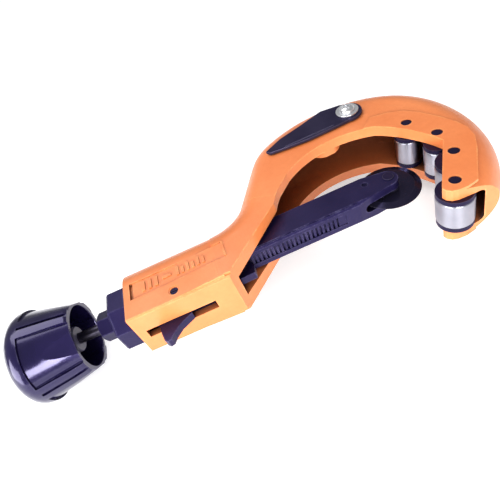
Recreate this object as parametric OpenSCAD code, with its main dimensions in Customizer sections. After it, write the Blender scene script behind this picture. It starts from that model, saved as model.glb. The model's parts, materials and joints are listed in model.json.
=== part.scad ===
// Quick-release telescopic tube cutter. Millimetres.
// Design frame: X runs from the handle to the jaw, Y across the hook, Z through its thickness.
// at_frame() moves everything so that the origin is the bottom centre of the whole tool.

/* [Hook casting] */
// Half thickness of the hook
hook_half = 16.5; // [14:0.1:19]
// Thickness of the two hook plates
hook_wall = 6; // [5.9:0.1:7]
// Wall of the hook's back
hook_back = 5; // [4.5:0.1:6]
// Where the box top starts to sweep up into the arm, X
sweep_x = 51; // [46:0.1:56]
// Height of the box top, Y
sweep_y = 39.1; // [37:0.1:42]
// Inside fillet between box and arm
fillet_r = 22.5; // [18:0.1:30]
// Slope of the arm, degrees
arm_slope = 61.6; // [55:0.1:66]
// Straight length of the arm
arm_len = 34.5; // [28:0.1:40]
// Shoulder radius
shoulder_r = 31; // [26:0.1:36]
// Top radius
top_r = 81; // [70:0.5:95]
// Upper right radius
upper_r = 55; // [48:0.5:62]
// Right leg radius
leg_r = 72; // [65:0.5:80]
// Height of the flat pads around the roller pins
pad_t = 0.5; // [0.2:0.1:1]

/* [Handle box] */
// Half thickness of the box
box_half = 15; // [13:0.1:16]
// Lower face of the box, Y
box_y0 = 0.9; // [0:0.1:2]
// Centre of the box's round back, Y
box_yc = 24.2; // [23:0.1:26]
// Half width of the box cavity
cav_half = 11.4; // [11.2:0.1:12]
// Where the cavity narrows to the arm's width, X
mouth_x = 50.5; // [50.3:0.1:52]
// Half width of the narrow mouth
mouth_half = 7.8; // [7.7:0.1:9]
// Radius of the round part of the box cavity
cav_r = 12.9; // [12:0.1:13.2]
// Wall of the handle end
end_wall = 2.2; // [1.5:0.1:3]
// Slot for the release lever, left end
slot_x0 = 4.7; // [3:0.1:7]
// Slot for the release lever, right end
slot_x1 = 43; // [38:0.1:46]
// Slot half width
slot_half = 2.9; // [2:0.1:3.5]

/* [Rollers] */
// Roller pin radius
pin_r = 2.8; // [2:0.1:3.5]
// Radius of the two upper rollers
roller_r_a = 7.1; // [6:0.1:8]
// Radius of the two lower rollers
roller_r_b = 8.9; // [8:0.1:9.5]
// Half length of the roller sleeves
roller_half = 7.7; // [7:0.1:7.8]
// Thickness of the end rings
ring_t = 2.5; // [1:0.1:2.5]
// Running clearance of rollers, wheel, lever and spindle
run_gap = 0.06; // [0.02:0.01:0.1]

/* [Slide arm and wheel] */
// Rear end of the arm, X
arm_x0 = 59; // [57:0.1:61]
// Underside of the arm, Y
arm_y0 = 17; // [16:0.1:18]
// Top of the arm, Y
arm_y1 = 35.6; // [34:0.1:36]
// Half thickness of the arm
arm_half = 7.5; // [6:0.1:8]
// Rack pitch
rack_pitch = 2.35; // [1.5:0.05:3]
// Number of rack notches
rack_n = 23; // [10:1:26]
// Cutting wheel radius
wheel_r = 16; // [13:0.1:16.2]
// Wheel axis, X
wheel_x = 149.4; // [148:0.1:151]
// Wheel axis, Y
wheel_y = 26; // [25:0.1:27]
// Wheel pin radius
wheel_pin_r = 1.9; // [1.5:0.1:2.5]

/* [Feed] */
// Spindle axis height, Y
spin_y = 16.9; // [16:0.1:18]
// Spindle radius
spin_r = 3; // [2.5:0.1:4]
// Knob largest radius
knob_r = 25.2; // [22:0.1:27]
// Knob front rim, X
knob_x1 = -29.3; // [-32:0.1:-27]
// Knob back, X
knob_x0 = -66; // [-70:0.1:-60]
// Knob hollow radius
knob_bore_r = 16.7; // [14:0.1:18]
// Depth of the four grip panels
grip_step = 0.9; // [0.5:0.1:1.1]
// Head radius of the guide screw
guide_r = 2.2; // [1.8:0.1:2.4]
// Corner radius of the end nut
nut_r = 16.4; // [14:0.1:17]

/* [Release lever] */
// Lever pivot, X
lever_x = 36; // [32:0.1:40]
// Lever pivot, Y
lever_y = 9.5; // [8:0.1:11]
// Lever pin radius
lever_pin_r = 1.6; // [1.2:0.1:2]
// Half thickness of the lever
lever_half = 2.4; // [1.5:0.1:2.6]

/* [Deburring blade] */
// Pivot of the blade, X
blade_x = 153.1; // [150:0.1:156]
// Pivot of the blade, Y
blade_y = 78.6; // [76:0.1:81]
// Blade thickness
blade_t = 1.7; // [1:0.1:2.5]
// Washer radius
washer_r = 6.6; // [4:0.1:10]

/* [Hidden] */
$fn = 96;
eps = 0.01;
lap = 0.06;
org = [70.1875, 45.3764, -25.2];
slot_z = -0.4;
pins = [[173.6, 49.2], [180.6, 31.8], [178.7, 14.7], [167.8, -2.8]];
radii = [roller_r_a, roller_r_a, roller_r_b, roller_r_b];
heads = [0, arm_slope, 30, -25, -71.1, -162];
c1 = [sweep_x, sweep_y + fillet_r];
p1 = c1 + fillet_r * [sin(arm_slope), -cos(arm_slope)];
p2 = p1 + arm_len * [cos(arm_slope), sin(arm_slope)];
c2 = p2 + shoulder_r * [sin(heads[1]), -cos(heads[1])];
c3 = c2 + (top_r - shoulder_r) * [sin(heads[2]), -cos(heads[2])];
c4 = c3 + (upper_r - top_r) * [sin(heads[3]), -cos(heads[3])];
c5 = c4 + (leg_r - upper_r) * [sin(heads[4]), -cos(heads[4])];

orange = [0.96, 0.53, 0.24];
dark = [0.13, 0.12, 0.2];
steel = [0.85, 0.86, 0.88];

module at_frame() {
  translate([-org[0], -org[1], -org[2]]) children();
}

// channel profile: rounded back at x = 0, body towards -x, corner radius rc
module crown(h, d, rc) {
  intersection() {
    union() {
      translate([-rc, h - rc]) circle(r = rc);
      translate([-rc, rc - h]) circle(r = rc);
    }
    translate([-rc, -h]) square([rc, 2 * h]);
  }
  if (h > rc + 0.1) translate([-rc, rc - h]) square([rc, 2 * (h - rc)]);
  translate([-h - d, -h]) square([h + d - rc + eps, 2 * h]);
}

module bend(c, r, a0, a1, h, d, rc) {
  translate([c[0], c[1], 0]) rotate([0, 0, a0])
    rotate_extrude(angle = a1 - a0) translate([r, 0]) crown(h, d, rc);
}

// inner part of the hook plate, well inside the swept rim
module core_2d() {
  polygon([[50, 19], [73, 25.4], [88.6, 41], [104.6, 71], [109.4, 75.6], [124, 81], [139.5, 83.6],
    [153, 82], [165, 77.8], [175.6, 70.2], [183, 57.6], [185.8, 41.3], [182.8, 23.5], [173.6, 8.2],
    [163, -3.6], [150, -6], [140, 30], [100, 40], [66, 2.4], [50, 2.4]]);
}

// the hook swept along its outline: i = distance in from the outside, h = half thickness,
// rc = corner radius of its back
module hook_sweep(i, h, rc) {
  translate([c1[0], c1[1], 0]) rotate([0, 0, -90]) rotate_extrude(angle = arm_slope + 2)
    translate([fillet_r + i + lap, 0]) mirror([1, 0]) crown(h - lap, 18, rc - lap);
  translate([p1[0], p1[1], 0]) rotate([0, 0, arm_slope]) rotate([90, 0, 90])
    linear_extrude(arm_len) translate([-i, 0]) crown(h, 12, rc);
  bend(c2, shoulder_r - i - lap, heads[2] + 88, heads[1] + 92, h - lap, 12, rc - lap);
  bend(c3, top_r - i, heads[3] + 90, heads[2] + 90, h, 12, rc);
  bend(c4, upper_r - i - lap, heads[4] + 88.8, heads[3] + 91.2, h - lap, 12, rc - lap);
  bend(c5, leg_r - i, heads[5] + 90, heads[4] + 90, h, 18, rc);
  translate([0, 0, lap / 2 - h]) linear_extrude(2 * h - lap) core_2d();
}

module throat_2d() {
  intersection() {
    translate([135.9, 12]) circle(r = 51, $fn = 180);
    translate([111.2, 4.8]) circle(r = 71.1, $fn = 240);
    polygon([[45, -9.1], [115, 63.2], [185, 75], [185, 33.4], [179.8, 25.3], [161.3, -3], [149, -23], [50, -23]]);
  }
  polygon([[45, -9.1], [56.6, 2.8], [90, 34], [110, 0], [156, -13], [152, -40], [30, -40], [30, -9.1]]);
}

module tip_cut_2d() {
  polygon([[60, -4.4], [160.4, -4.4], [161, -6.6], [162.8, -8.4], [165.6, -9.3], [173.6, -9.4],
    [190, -7.9], [190, -50], [60, -50]]);
}

module pad_2d() {
  polygon([[152, 58], [161.2, 66.6], [170, 64.2], [177.4, 60], [183.5, 52.4], [188.7, 42], [192.2, 33],
    [193.4, 26.1], [192.2, 18.5], [188, 10.5], [175.6, -8], [160, -12], [150, 30]]);
}

module box_2d() {
  polygon([[box_y0 + 0.8, -box_half], [box_yc, -box_half], [box_yc, box_half], [box_y0 + 0.8, box_half],
    [box_y0, box_half - 0.8], [box_y0, -box_half + 0.8]]);
  translate([box_yc, 0]) circle(r = box_half);
}

module cavity_2d() {
  translate([4.4, -cav_half]) square([box_yc - 4.4, 2 * cav_half]);
  translate([box_yc, 0]) circle(r = cav_r);
}

module along_x(x0, x1) {
  translate([x0, 0, 0]) rotate([90, 0, 90]) linear_extrude(x1 - x0) children();
}

// the cavity's mouth: as wide as the arm at the handle, widening into the hook
module arm_mouth() {
  translate([0, 36.3, 0]) rotate([90, 0, 0]) linear_extrude(31.9)
    polygon([[mouth_x - 1, -mouth_half], [60, -mouth_half], [93, hook_wall - hook_half],
      [93, hook_half - hook_wall], [60, mouth_half], [mouth_x - 1, mouth_half]]);
}

module face_wedge() {
  translate([0, 23.4, 0]) rotate([90, 0, 0]) linear_extrude(21.6)
    polygon([[24, 14], [24, 15], [sweep_x + 0.5, hook_half], [sweep_x + 2, hook_half], [sweep_x + 2, 14]]);
}

module panel_cut() {
  translate([0, 23.6, 0]) rotate([90, 0, 0]) linear_extrude(11)
    polygon([[3.6, 14.4], [24, 14.4], [sweep_x + 0.5, hook_half - 0.6], [56.7, hook_half - 0.6],
      [56.7, 20], [3.6, 20]]);
}

// raised plain bars on the recessed panel
module panel_marks() {
  for (i = [0:2]) translate([10.5 + 3.6 * i, 15.2, 14.2]) cube([1.8, 6.2, 0.9]);
  translate([22.2, 17.6, 14.2]) cube([4.8, 1.5, 0.95]);
  for (i = [0:5]) translate([30 + 2.9 * i, 15.6, 14.2]) cube([1.4, 5.6 - 1.4 * (i % 2), 1.2 + 0.16 * i]);
  translate([56.3, 13, 16]) cube([1, 10.4, 0.9]);
}

module jaw_frame() color(orange) at_frame() {
  difference() {
    union() {
      difference() {
        hook_sweep(0, hook_half, hook_half);
        translate([0, 0, -40]) linear_extrude(80) throat_2d();
        translate([0, 0, -40]) linear_extrude(80) tip_cut_2d();
      }
      along_x(0, sweep_x + 9) box_2d();
      face_wedge();
      mirror([0, 0, 1]) face_wedge();
      for (s = [0, 1]) mirror([0, 0, s]) difference() {
        translate([0, 0, hook_half - 1]) linear_extrude(1 + pad_t) pad_2d();
        translate([0, 0, -40]) linear_extrude(80) throat_2d();
        translate([0, 0, -40]) linear_extrude(80) tip_cut_2d();
      }
    }
    translate([0, 0, -40]) linear_extrude(80)
      polygon([[55, 0.9], [56.6, 2.8], [90, 34], [90, -20], [54, -20], [54, 0.9]]);
    difference() {
      hook_sweep(hook_back, hook_half - hook_wall, 2.5);
      translate([-20, -20, -30]) cube([92, 100, 60]);
      translate([-20, -20, -30]) cube([112, 56.2, 60]);
    }
    along_x(end_wall, mouth_x) cavity_2d();
    arm_mouth();
    translate([-1, 8, -7.7]) cube([6, 20.7, 15.4]);
    translate([slot_x0, -2, slot_z - slot_half]) cube([slot_x1 - slot_x0, 8, 2 * slot_half]);
    panel_cut();
    for (p = pins) translate([p[0], p[1], -20]) cylinder(h = 40, r = pin_r + 0.03);
    translate([3.6, 12.6, 13.2]) cube([1.7, 11, 3]);
    translate([26.8, 7, 9]) cylinder(h = 10, r = guide_r + 0.03);
    translate([26.8, 7, 14.7]) cylinder(h = 2, r = guide_r + 0.7);
    translate([blade_x, blade_y, 0]) cylinder(h = 30, r = 2.52);
  }
  panel_marks();
  difference() {
    translate([blade_x, blade_y, 4.5]) cylinder(h = 6.2, r = 4.6);
    translate([blade_x, blade_y, 0]) cylinder(h = 30, r = 2.52);
  }
  difference() {
    translate([132.6, 72, 6.6]) cylinder(h = 4.4, r = 9.5);
    translate([0, 0, -40]) linear_extrude(80) throat_2d();
  }
}

module roller(k) color(steel) at_frame() translate([pins[k][0], pins[k][1], 0])
  rotate_extrude() polygon([[pin_r + run_gap, -roller_half], [radii[k] - 0.5, -roller_half],
    [radii[k], 0.5 - roller_half], [radii[k], roller_half - 0.5], [radii[k] - 0.5, roller_half],
    [pin_r + run_gap, roller_half]]);

module roller_1() roller(0);
module roller_2() roller(1);
module roller_3() roller(2);
module roller_4() roller(3);

module roller_washers() color(dark) at_frame()
  for (k = [0:3]) for (s = [0, 1]) mirror([0, 0, s]) translate([pins[k][0], pins[k][1], roller_half + 0.1])
    difference() {
      cylinder(h = ring_t, r = radii[k] - 0.15);
      translate([0, 0, -1]) cylinder(h = 4, r = pin_r + 0.03);
    }

module roller_pin(k) color(dark) at_frame() translate([pins[k][0], pins[k][1], 0]) {
  translate([0, 0, -16.4]) cylinder(h = 32.9, r = pin_r);
}

module roller_pin_1() roller_pin(0);
module roller_pin_2() roller_pin(1);
module roller_pin_3() roller_pin(2);
module roller_pin_4() roller_pin(3);

module arm_section() {
  polygon([[arm_y0, -arm_half + 1.4], [arm_y0 + 1.4, -arm_half], [arm_y1 - 2.2, -arm_half],
    [arm_y1, -arm_half + 2.2], [arm_y1, arm_half - 2.2], [arm_y1 - 2.2, arm_half],
    [arm_y0 + 1.4, arm_half], [arm_y0, arm_half - 1.4]]);
}

module arm_side() {
  polygon([[arm_x0, arm_y0], [129, arm_y0], [147.6, 19.85], [149.6, 30.85], [137, 33.4], [128, arm_y1],
    [arm_x0, arm_y1]]);
  translate([148.4, 25.4]) circle(r = 5.6);
}

module slide_arm() color(dark) at_frame() difference() {
  intersection() {
    along_x(arm_x0, 160) arm_section();
    translate([0, 0, -10]) linear_extrude(20) arm_side();
  }
  translate([arm_x0 - 1, 20.4, -4.8]) cube([131.5 - arm_x0, 8.1, 9.6]);
  translate([134.7, 0, -2.75]) cube([40, 60, 5.5]);
  translate([134.7, 0, 0]) rotate([-90, 0, 0]) cylinder(h = 60, r = 2.75);
  translate([62.3, arm_y0 - 1, -2.9]) cube([rack_pitch * rack_n + 4.5, 1.4, 6.8]);
  for (i = [0:rack_n - 1]) translate([63.6 + i * rack_pitch, arm_y0 - 1, -2.9]) cube([1.15, 2.6, 6.8]);
  translate([arm_x0 - 1, 17.7, arm_half - 0.5]) cube([70, 0.7, 2]);
  translate([wheel_x, wheel_y, -12]) cylinder(h = 24, r = wheel_pin_r + 0.02);
  translate([137.1, 27.8, arm_half - 1]) cylinder(h = 3, r = 1.6);
}

module cutting_wheel() color(dark) at_frame() translate([wheel_x, wheel_y, 0])
  rotate_extrude($fn = 144) polygon([[wheel_pin_r + run_gap, -2.5], [5.2, -2.5], [5.2, -1.3],
    [wheel_r - 3.4, -1.3], [wheel_r, -0.12], [wheel_r, 0.12], [wheel_r - 3.4, 1.3], [5.2, 1.3],
    [5.2, 2.5], [wheel_pin_r + run_gap, 2.5]]);

module wheel_pin() color(steel) at_frame() translate([wheel_x, wheel_y, 0]) {
  translate([0, 0, -arm_half - 0.4]) cylinder(h = 2 * arm_half + 0.8, r = wheel_pin_r);
  translate([0, 0, arm_half + 0.1]) cylinder(h = 0.5, r = wheel_pin_r + 0.9);
  translate([0, 0, -arm_half - 0.6]) cylinder(h = 0.5, r = wheel_pin_r + 0.9);
}

module feed_carriage() color(dark) at_frame() difference() {
  union() {
    translate([9.4, 4.9, -10.8]) cube([34, 11.4, 21.6]);
    translate([43, 4.9, -7.3]) cube([15, 11.4, 14.6]);
    translate([4.7, 8.5, -7.2]) cube([4, 19.7, 14.4]);
    translate([8.6, 8.5, -7.2]) cube([1, 7.8, 14.4]);
    translate([8.6, 20.7, -4.5]) cube([69.4, 7.5, 9]);
  }
  translate([10.8, 0, slot_z - 2.7]) cube([60, 20, 5.4]);
  translate([4, spin_y, 0]) rotate([0, 90, 0]) cylinder(h = 2, r = spin_r + run_gap);
  translate([4, 8, -spin_r - run_gap]) cube([2, spin_y - 8, 2 * (spin_r + run_gap)]);
  translate([5.9, spin_y, 0]) rotate([0, 90, 0]) cylinder(h = 1.6, r = 4.7);
  translate([5.9, 8, -4.7]) cube([1.6, spin_y - 8, 9.4]);
  translate([18.1, 5.2, 8.7]) cube([17.4, 3.6, 4]);
  translate([lever_x, lever_y, -12]) cylinder(h = 24, r = lever_pin_r + 0.02);
}

module feed_spindle() color(steel) at_frame() translate([0, spin_y, 0]) rotate([0, 90, 0]) {
  translate([0, 0, -57.5]) cylinder(h = 63.7, r = spin_r);
  translate([0, 0, 6.1]) cylinder(h = 1.2, r = 4.4);
}

module lock_nut() color(dark) at_frame() translate([0, spin_y, 0]) rotate([0, 90, 0])
  intersection() {
    rotate_extrude() polygon([[3.4, -20], [6.9, -20], [8, -19.3], [8, -10.1], [3.4, -10.1]]);
    translate([0, 0, -21]) rotate([0, 0, 12]) cylinder(h = 12, r = 8.1, $fn = 6);
  }

module end_nut() color(dark) at_frame() difference() {
  translate([0, spin_y, 0]) rotate([0, 90, 0]) rotate([0, 0, 22.5]) union() {
    translate([0, 0, -9]) cylinder(h = 9, r = nut_r, $fn = 8);
    translate([0, 0, -10]) cylinder(h = 1 + eps, r1 = nut_r - 1, r2 = nut_r, $fn = 8);
  }
  translate([-12, spin_y, 0]) rotate([0, 90, 0]) cylinder(h = 14, r = spin_r + run_gap);
  translate([-3, 8, -7.7]) cube([5, 20.7, 15.4]);
}

module knob_shape() {
  difference() {
    union() {
      polygon([[0, knob_x0], [15, knob_x0], [15, knob_x1 - 9], [0, knob_x1 - 9]]);
      polygon([[12, knob_x0], [15.5, knob_x0], [19.2, knob_x0 + 0.9], [22.1, knob_x0 + 2.7],
        [24.1, knob_x0 + 5], [25, knob_x0 + 7.4], [knob_r, knob_x0 + 9.6], [24.9, knob_x0 + 13],
        [22.3, knob_x1 - 8], [20.9, knob_x1 - 1.6], [19.9, knob_x1], [12, knob_x1]]);
    }
    polygon([[0, knob_x1 + 1], [knob_bore_r + 1, knob_x1 + 1], [knob_bore_r, knob_x1 - 0.8],
      [knob_bore_r - 0.8, -50], [0, -50]]);
  }
}

module feed_knob() color(dark) at_frame() translate([0, spin_y, 0]) rotate([0, 90, 0]) difference() {
  rotate_extrude($fn = 144) knob_shape();
  for (a = [45:90:315]) rotate([0, 0, a]) {
    rotate([0, 0, -33]) rotate_extrude(angle = 66, $fn = 144)
      polygon([[24.9 - grip_step, -55.5], [19.8 - grip_step, knob_x1 + 0.1], [30, knob_x1 + 0.1], [30, -54],
        [25.7, -54]]);
    translate([24.2, -20, -54]) rotate([0, -14, 0]) cube([12, 40, 40]);
  }
  for (a = [0:90:270]) rotate([0, 0, a]) translate([23.8, -0.9, -54.6]) rotate([0, -9.2, 0])
    cube([12, 1.8, 40]);
  translate([0, 0, -58]) cylinder(h = 40, r = spin_r + 0.02);
}

module knob_hub() color([0.35, 0.34, 0.42]) at_frame() translate([0, spin_y, 0]) rotate([0, 90, 0])
  rotate_extrude() polygon([[spin_r + 0.02, -49.9], [9, -49.9], [7.6, -44], [7, -34.8], [6.4, -34],
    [spin_r + 0.02, -34]]);

module lever_2d() {
  polygon([[12, 8.2], [12, 1.5], [12.6, -4.5], [13.5, -8.9], [15, -10.2], [16.9, -9.6], [18.8, -6.8],
    [22.4, -3.4], [29.6, 0.3], [29.8, 5], [35, 5.4], [56, 7.6], [66.5, 7.9], [67.3, 12.4],
    [66.1, 16.6], [65.3, 16.6], [62, 11.8], [41, 11.8], [36, 13.5], [30.5, 12]]);
}

module release_lever() color(dark) at_frame() difference() {
  translate([0, 0, slot_z - lever_half]) linear_extrude(2 * lever_half) lever_2d();
  translate([lever_x, lever_y, -12]) cylinder(h = 24, r = lever_pin_r + run_gap);
  translate([lever_x, lever_y, 0.5]) cylinder(h = 6, r = 3.8);
}

module lever_pin() color(steel) at_frame() translate([lever_x, lever_y, -10.7]) cylinder(h = 21.4, r = lever_pin_r);

module lever_spring() color(steel) at_frame() translate([lever_x, lever_y, 1.25]) rotate_extrude() {
  translate([2.5, -0.3]) circle(r = 0.36, $fn = 24);
  translate([2.5, 0.3]) circle(r = 0.36, $fn = 24);
}

module guide_screw() color(dark) at_frame() translate([26.8, 7, 0]) difference() {
  union() {
    translate([0, 0, 9]) cylinder(h = 2.6, r = 1.45);
    translate([0, 0, 11.5]) cylinder(h = 2.8, r = guide_r);
  }
  translate([-3, -0.3, 13.6]) cube([6, 0.6, 3]);
}

module blade_2d() {
  difference() {
    union() {
      polygon([[99.6, 75.4], [101.4, 72.6], [113, 71], [125.4, 69.8], [144, 70.2], [151.5, 70.6],
        [157.5, 72.2], [160.4, 76], [160.6, 81], [157.4, 85.4], [152, 88.2], [140.6, 90.4], [125.2, 85.4],
        [110.6, 81.4]]);
      translate([blade_x, blade_y]) circle(r = 8.4);
    }
    translate([blade_x, blade_y]) circle(r = 2.5 + run_gap);
  }
}

module deburring_blade() color(dark) at_frame() difference() {
  translate([0, 0, 17.15]) linear_extrude(blade_t) blade_2d();
  translate([111, 71.6, 17.15 + blade_t - 0.4]) rotate([0, 0, -1]) cube([30, 0.8, 2]);
}

module blade_washer() color(steel) at_frame() translate([blade_x, blade_y, 17.15 + blade_t + 0.1])
  difference() {
    cylinder(h = 1, r = washer_r);
    translate([0, 0, -1]) cylinder(h = 4, r = 2.55);
  }

module blade_screw() color(steel) at_frame() translate([blade_x, blade_y, 0]) difference() {
  union() {
    translate([0, 0, 5]) cylinder(h = 16, r = 2.5);
    translate([0, 0, 17.15 + blade_t + 1.15]) rotate_extrude() polygon([[0, 0], [4.4, 0], [4.3, 0.9],
      [3.7, 1.7], [2.6, 2.3], [1.3, 2.6], [0, 2.7]]);
  }
  translate([-0.5, -2.6, 21.6]) cube([1, 5.2, 3]);
  translate([-2.6, -0.5, 21.6]) cube([5.2, 1, 3]);
}

jaw_frame();
roller_1();
roller_2();
roller_3();
roller_4();
roller_washers();
roller_pin_1();
roller_pin_2();
roller_pin_3();
roller_pin_4();
slide_arm();
cutting_wheel();
wheel_pin();
feed_carriage();
feed_spindle();
lock_nut();
end_nut();
feed_knob();
knob_hub();
release_lever();
lever_pin();
lever_spring();
guide_screw();
deburring_blade();
blade_washer();
blade_screw();
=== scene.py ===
import bpy
import json
import math
from mathutils import Matrix, Vector

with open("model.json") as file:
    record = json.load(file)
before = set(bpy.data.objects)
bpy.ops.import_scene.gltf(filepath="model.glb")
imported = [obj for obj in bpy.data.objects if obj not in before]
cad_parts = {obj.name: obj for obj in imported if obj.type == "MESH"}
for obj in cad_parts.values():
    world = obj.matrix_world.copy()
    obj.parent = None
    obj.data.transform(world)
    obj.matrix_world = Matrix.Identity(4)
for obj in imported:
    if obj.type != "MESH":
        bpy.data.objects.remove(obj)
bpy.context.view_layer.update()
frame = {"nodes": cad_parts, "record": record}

# ---------------------------------------------------------------- camera
CAMERA_AT = (0.0062725, -0.1879464, 0.19944)
CAMERA_AZIMUTH = 3.58
CAMERA_ELEVATION = 41.68
CAMERA_ROLL = 26.55
LENS_MM = 32.285
SHIFT = (0.0378, -0.057)


def make_camera():
    """A tilted camera that looks down on the tool as the photo does, turned about its own view."""
    az, el, roll = (math.radians(a) for a in (CAMERA_AZIMUTH, CAMERA_ELEVATION, CAMERA_ROLL))
    fwd = Vector((-math.sin(az) * math.cos(el), math.cos(az) * math.cos(el), -math.sin(el)))
    right = Vector((math.cos(az), math.sin(az), 0))
    down = fwd.cross(right)
    turned_right = math.cos(roll) * right + math.sin(roll) * down
    turned_down = -math.sin(roll) * right + math.cos(roll) * down
    data = bpy.data.cameras.new("photo_camera")
    cam = bpy.data.objects.new("photo_camera", data)
    bpy.context.scene.collection.objects.link(cam)
    rot = Matrix((turned_right, -turned_down, -fwd)).transposed()
    cam.matrix_world = Matrix.Translation(Vector(CAMERA_AT)) @ rot.to_4x4()
    data.sensor_width = 36
    data.lens = LENS_MM
    data.shift_x, data.shift_y = SHIFT
    data.clip_start = 0.01
    data.clip_end = 20
    bpy.context.scene.camera = cam
    bpy.context.scene.view_settings.view_transform = "Standard"


make_camera()


# ---------------------------------------------------------------- node helpers
class Nodes:
    """A new material and the few shader nodes that the finishes below are made of."""

    def __init__(self, name):
        self.mat = bpy.data.materials.new(name)
        self.mat.use_nodes = True
        self.t = self.mat.node_tree
        self.bsdf = self.t.nodes["Principled BSDF"]
        self.coord = self.t.nodes.new("ShaderNodeTexCoord").outputs["Object"]

    def link(self, a, b):
        self.t.links.new(a, b)

    def noise(self, scale, detail=3.0, rough=0.5, coord=None):
        n = self.t.nodes.new("ShaderNodeTexNoise")
        n.inputs["Scale"].default_value = scale
        n.inputs["Detail"].default_value = detail
        n.inputs["Roughness"].default_value = rough
        self.link(coord or self.coord, n.inputs["Vector"])
        return n.outputs["Fac"]

    def ramp(self, fac, lo, hi, a=0.0, b=1.0):
        n = self.t.nodes.new("ShaderNodeMapRange")
        n.inputs["From Min"].default_value = lo
        n.inputs["From Max"].default_value = hi
        n.inputs["To Min"].default_value = a
        n.inputs["To Max"].default_value = b
        self.link(fac, n.inputs["Value"])
        return n.outputs["Result"]

    def math(self, op, a, b):
        n = self.t.nodes.new("ShaderNodeMath")
        n.operation = op
        for i, v in enumerate((a, b)):
            if isinstance(v, (int, float)):
                n.inputs[i].default_value = v
            else:
                self.link(v, n.inputs[i])
        return n.outputs[0]

    def mix(self, fac, a, b):
        n = self.t.nodes.new("ShaderNodeMix")
        n.data_type = "RGBA"
        self.link(fac, n.inputs[0])
        for i, v in ((6, a), (7, b)):
            if isinstance(v, tuple):
                n.inputs[i].default_value = (*v, 1)
            else:
                self.link(v, n.inputs[i])
        return n.outputs[2]

    def edges(self, radius, lo, hi):
        """1 on sharp edges within radius metres, 0 on flat ground."""
        bev = self.t.nodes.new("ShaderNodeBevel")
        bev.samples = 4
        bev.inputs["Radius"].default_value = radius
        geo = self.t.nodes.new("ShaderNodeNewGeometry")
        dot = self.t.nodes.new("ShaderNodeVectorMath")
        dot.operation = "DOT_PRODUCT"
        self.link(bev.outputs[0], dot.inputs[0])
        self.link(geo.outputs["Normal"], dot.inputs[1])
        return self.ramp(dot.outputs["Value"], hi, lo)

    def painted_recess_shade(self, reach, lo, hi):
        """1 in the open, 0 far inside a recess: an ambient-occlusion mask for painting shade into the
        colour.
        """
        ao = self.t.nodes.new("ShaderNodeAmbientOcclusion")
        ao.samples = 8
        ao.inputs["Distance"].default_value = reach
        return self.ramp(ao.outputs["AO"], lo, hi)

    def bump(self, height, strength, distance, under=None):
        n = self.t.nodes.new("ShaderNodeBump")
        n.inputs["Strength"].default_value = strength
        n.inputs["Distance"].default_value = distance
        self.link(height, n.inputs["Height"])
        if under is not None:
            self.link(under, n.inputs["Normal"])
        return n.outputs[0]

    def set(self, **kw):
        """Plain values on the Principled shader's own sockets."""
        names = {"metal": "Metallic", "ior": "IOR", "coat": "Coat Weight", "coat_rough": "Coat Roughness",
                 "spec": "Specular IOR Level", "rough": "Roughness", "tint": "Specular Tint",
                 "turned": "Anisotropic", "turn": "Anisotropic Rotation"}
        for k, v in kw.items():
            self.bsdf.inputs[names[k]].default_value = v


# ---------------------------------------------------------------- finishes
WHITE = (1.0, 1.0, 1.0, 1.0)
NAVY = (0.42, 0.34, 0.95, 1.0)


def painted(name, base, light, dark, worn, rough, grain, coat=0.0, painted_shade_colour=None, tint=WHITE):
    """Paint over a casting: mottled colour, soft orange peel, lighter worn edges, painted shade in
    recesses.
    """
    m = Nodes(name)
    big = m.ramp(m.noise(28, 3), 0.35, 0.68)
    fine = m.ramp(m.noise(420, 4, 0.6), 0.3, 0.75)
    col = m.mix(big, base, light)
    col = m.mix(m.math("MULTIPLY", fine, 0.22), col, dark)
    edge = m.edges(0.0011, 0.93, 0.995)
    scuff = m.ramp(m.noise(160, 5, 0.7), 0.42, 0.66)
    col = m.mix(m.math("MULTIPLY", edge, scuff), col, worn)
    # painted shade: inside the jaw's cavity and other recesses the colour is darkened towards the shade
    # colour by ambient occlusion
    if painted_shade_colour is not None:
        col = m.mix(m.painted_recess_shade(0.035, 0.12, 0.62), painted_shade_colour, col)
    m.link(col, m.bsdf.inputs["Base Color"])
    r = m.ramp(m.noise(90, 4), 0.3, 0.7, rough - 0.06, rough + 0.08)
    m.link(m.math("ADD", r, m.math("MULTIPLY", edge, 0.08)), m.bsdf.inputs["Roughness"])
    peel = m.bump(m.noise(900, 2), grain, 0.0002)
    m.link(m.bump(m.noise(140, 3), grain * 0.8, 0.0006, peel), m.bsdf.inputs["Normal"])
    m.set(coat=coat, coat_rough=0.25, ior=1.48, tint=tint)
    return m.mat


def steel(name, base, dark, rough, brush=0.0, scale=(1, 1, 1), metal=1.0, tint=WHITE, turned=0.0):
    """Bare, blued or plated steel: fine scratches, smudged roughness, brighter edges.
    turned stretches the highlights along the axis of a part that was turned on a lathe."""
    m = Nodes(name)
    mp = m.t.nodes.new("ShaderNodeMapping")
    mp.inputs["Scale"].default_value = scale
    m.link(m.coord, mp.inputs["Vector"])
    streak = m.noise(600, 4, 0.6, mp.outputs[0])
    smudge = m.ramp(m.noise(70, 4), 0.3, 0.7)
    col = m.mix(m.math("MULTIPLY", smudge, 0.8), base, dark)
    edge = m.edges(0.0006, 0.9, 0.99)
    bright = tuple(min(1.0, c * 1.5 + 0.08) for c in base)
    col = m.mix(m.math("MULTIPLY", edge, 0.5), col, bright)
    m.link(col, m.bsdf.inputs["Base Color"])
    r = m.math("ADD", m.ramp(streak, 0.3, 0.7, rough - 0.04, rough + 0.05),
               m.math("MULTIPLY", smudge, 0.06))
    m.link(r, m.bsdf.inputs["Roughness"])
    m.link(m.bump(streak, brush, 0.0001), m.bsdf.inputs["Normal"])
    m.set(metal=metal, tint=tint, turned=turned, turn=0.25)
    return m.mat


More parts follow.
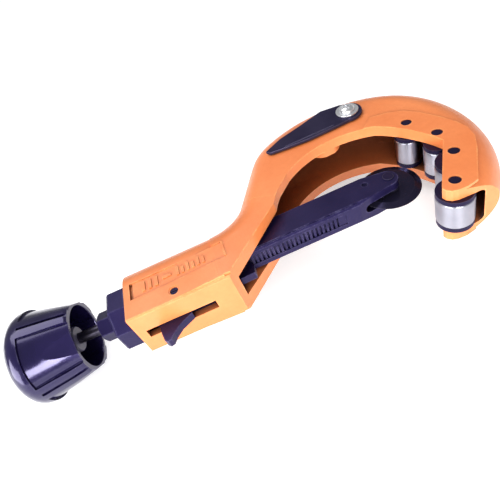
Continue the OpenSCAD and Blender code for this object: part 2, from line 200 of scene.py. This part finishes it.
def plastic(name, base, light, rough, grain, scale, coat=0.0, tint=WHITE):
    """Moulded plastic: faint mottling, a fine grain, paler where the edges are rubbed."""
    m = Nodes(name)
    col = m.mix(m.ramp(m.noise(45, 4), 0.35, 0.7), base, light)
    edge = m.edges(0.0009, 0.9, 0.99)
    worn = tuple(min(1.0, c * 1.8 + 0.05) for c in base)
    col = m.mix(m.math("MULTIPLY", edge, m.ramp(m.noise(200, 4), 0.4, 0.6, 0, 0.6)), col, worn)
    m.link(col, m.bsdf.inputs["Base Color"])
    m.link(m.ramp(m.noise(120, 5), 0.3, 0.7, rough - 0.05, rough + 0.07), m.bsdf.inputs["Roughness"])
    m.link(m.bump(m.noise(scale, 3, 0.6), grain, 0.0002), m.bsdf.inputs["Normal"])
    m.set(coat=coat, coat_rough=0.12, ior=1.5, tint=tint)
    return m.mat


# in ORANGE and BLACK the colour after the coat weight is painted shade, laid into recesses and the cavity
# inside the jaw
ORANGE = painted("orange_enamel", (0.86, 0.235, 0.065), (0.93, 0.285, 0.090), (0.66, 0.145, 0.03),
                 (1.0, 0.46, 0.16), 0.42, 0.25, 0.25, (0.11, 0.03, 0.014))
BLACK = painted("black_coat", (0.0075, 0.0055, 0.030), (0.013, 0.010, 0.044), (0.004, 0.003, 0.013),
                (0.09, 0.08, 0.17), 0.34, 0.2, 0.0, (0.002, 0.0015, 0.007), NAVY)
BLACKSTEEL = steel("blackened_steel", (0.012, 0.009, 0.030), (0.006, 0.0045, 0.016), 0.40, 0.2,
                   metal=0.3, tint=NAVY)
CHROME = steel("roller_chrome", (0.50, 0.50, 0.57), (0.34, 0.34, 0.42), 0.28, 0.05, (1, 1, 12),
               turned=0.85)
WHEEL = steel("wheel_steel", (0.020, 0.018, 0.036), (0.010, 0.009, 0.02), 0.16, 0.1, (1, 1, 1), 0.5, NAVY)
BRIGHT = steel("zinc_steel", (0.90, 0.90, 0.92), (0.68, 0.69, 0.72), 0.30, 0.12)
SPINDLE = steel("oiled_steel", (0.12, 0.11, 0.15), (0.05, 0.045, 0.07), 0.30, 0.15)
BLADE = steel("blued_steel", (0.036, 0.032, 0.062), (0.016, 0.014, 0.030), 0.33, 0.25, (1, 8, 1), 0.5, NAVY)
KNOB = plastic("knob_plastic", (0.0065, 0.0045, 0.030), (0.011, 0.0075, 0.044), 0.18, 0.08, 1500, 0.5, NAVY)
HUB = plastic("hub_plastic", (0.08, 0.075, 0.12), (0.11, 0.10, 0.16), 0.4, 0.15, 1200)

by_slot = {"orange_paint": ORANGE, "roller_chrome": CHROME, "black_steel": BLACKSTEEL, "black_coat": BLACK,
           "wheel_steel": WHEEL, "spindle_steel": SPINDLE, "bright_steel": BRIGHT, "blade_steel": BLADE,
           "knob_plastic": KNOB, "hub_plastic": HUB}


def dress(obj, mat, width=0.0):
    """A node keeps its mesh: modifiers only merge flat facets and round its sharp edges a little."""
    obj.data.materials.clear()
    obj.data.materials.append(mat)
    if width <= 0:
        return
    weld = obj.modifiers.new("weld", "WELD")
    weld.merge_threshold = 0.000004
    flat = obj.modifiers.new("flat", "DECIMATE")
    flat.decimate_type = "DISSOLVE"
    flat.angle_limit = math.radians(0.3)
    bev = obj.modifiers.new("bevel", "BEVEL")
    bev.limit_method = "ANGLE"
    bev.angle_limit = math.radians(38)
    bev.width = width
    bev.segments = 2
    bev.use_clamp_overlap = True
    wn = obj.modifiers.new("normals", "WEIGHTED_NORMAL")
    wn.keep_sharp = True


# how far each node's sharp edges are rounded, in mm
EDGES_MM = {0.5: ["jaw_frame"], 0.4: ["end_nut", "feed_knob", "release_lever"],
            0.3: ["slide_arm", "feed_carriage", "feed_spindle"], 0.25: ["lock_nut"],
            0.2: ["deburring_blade", "lever_pin"] + [n + str(k) for n in ("roller_", "roller_pin_")
                                                     for k in range(1, 5)],
            0.15: ["blade_washer", "blade_screw", "guide_screw", "wheel_pin"]}
widths = {node: mm / 1000 for mm, nodes in EDGES_MM.items() for node in nodes}
for part in frame["record"]["subparts"]:
    dress(frame["nodes"][part["node"]], by_slot[part["material_slot"]], widths.get(part["node"], 0.0))


# ---------------------------------------------------------------- floor and light
FLOOR_HALF = 3.0
FLOOR_Z = -0.0015
FLOOR_GLOW = 0.42
WORLD_GLOW = 0.36
# name, place, what it points at, width in metres, watts
LIGHTS = (("front", (-0.10, -1.0, 0.36), (0.02, 0.0, 0.02), 0.45, 10.5),
          ("left", (-0.90, -0.50, 0.24), (-0.06, 0.0, 0.01), 0.80, 11.0),
          ("top", (-0.35, 0.50, 1.15), (-0.15, 0.15, 0.0), 1.0, 8.5))


def make_floor():
    """A plain white floor, just under the lowest point of the knob."""
    mesh = bpy.data.meshes.new("floor")
    h, z = FLOOR_HALF, FLOOR_Z
    mesh.from_pydata([(-h, -h, z), (h, -h, z), (h, h, z), (-h, h, z)], [], [(0, 1, 2, 3)])
    floor = bpy.data.objects.new("floor", mesh)
    bpy.context.scene.collection.objects.link(floor)
    m = Nodes("floor_paper")
    col = m.mix(m.noise(3, 2), (0.92, 0.92, 0.92), (0.95, 0.95, 0.95))
    m.link(col, m.bsdf.inputs["Base Color"])
    m.set(rough=0.9, spec=0.1)
    m.bsdf.inputs["Emission Color"].default_value = WHITE
    m.bsdf.inputs["Emission Strength"].default_value = FLOOR_GLOW
    mesh.materials.append(m.mat)


def make_lights():
    """A pale even surround and three soft boxes, each wider than it is high."""
    world = bpy.data.worlds.new("studio")
    bpy.context.scene.world = world
    world.use_nodes = True
    bg = world.node_tree.nodes["Background"]
    bg.inputs["Color"].default_value = WHITE
    bg.inputs["Strength"].default_value = WORLD_GLOW
    for name, pos, at, size, power in LIGHTS:
        data = bpy.data.lights.new(name, "AREA")
        data.shape = "RECTANGLE"
        data.size = size
        data.size_y = size * 0.7
        data.energy = power
        lamp = bpy.data.objects.new(name, data)
        lamp.location = pos
        lamp.rotation_mode = "QUATERNION"
        lamp.rotation_quaternion = (Vector(at) - Vector(pos)).to_track_quat("-Z", "Y")
        bpy.context.scene.collection.objects.link(lamp)


make_floor()
make_lights()
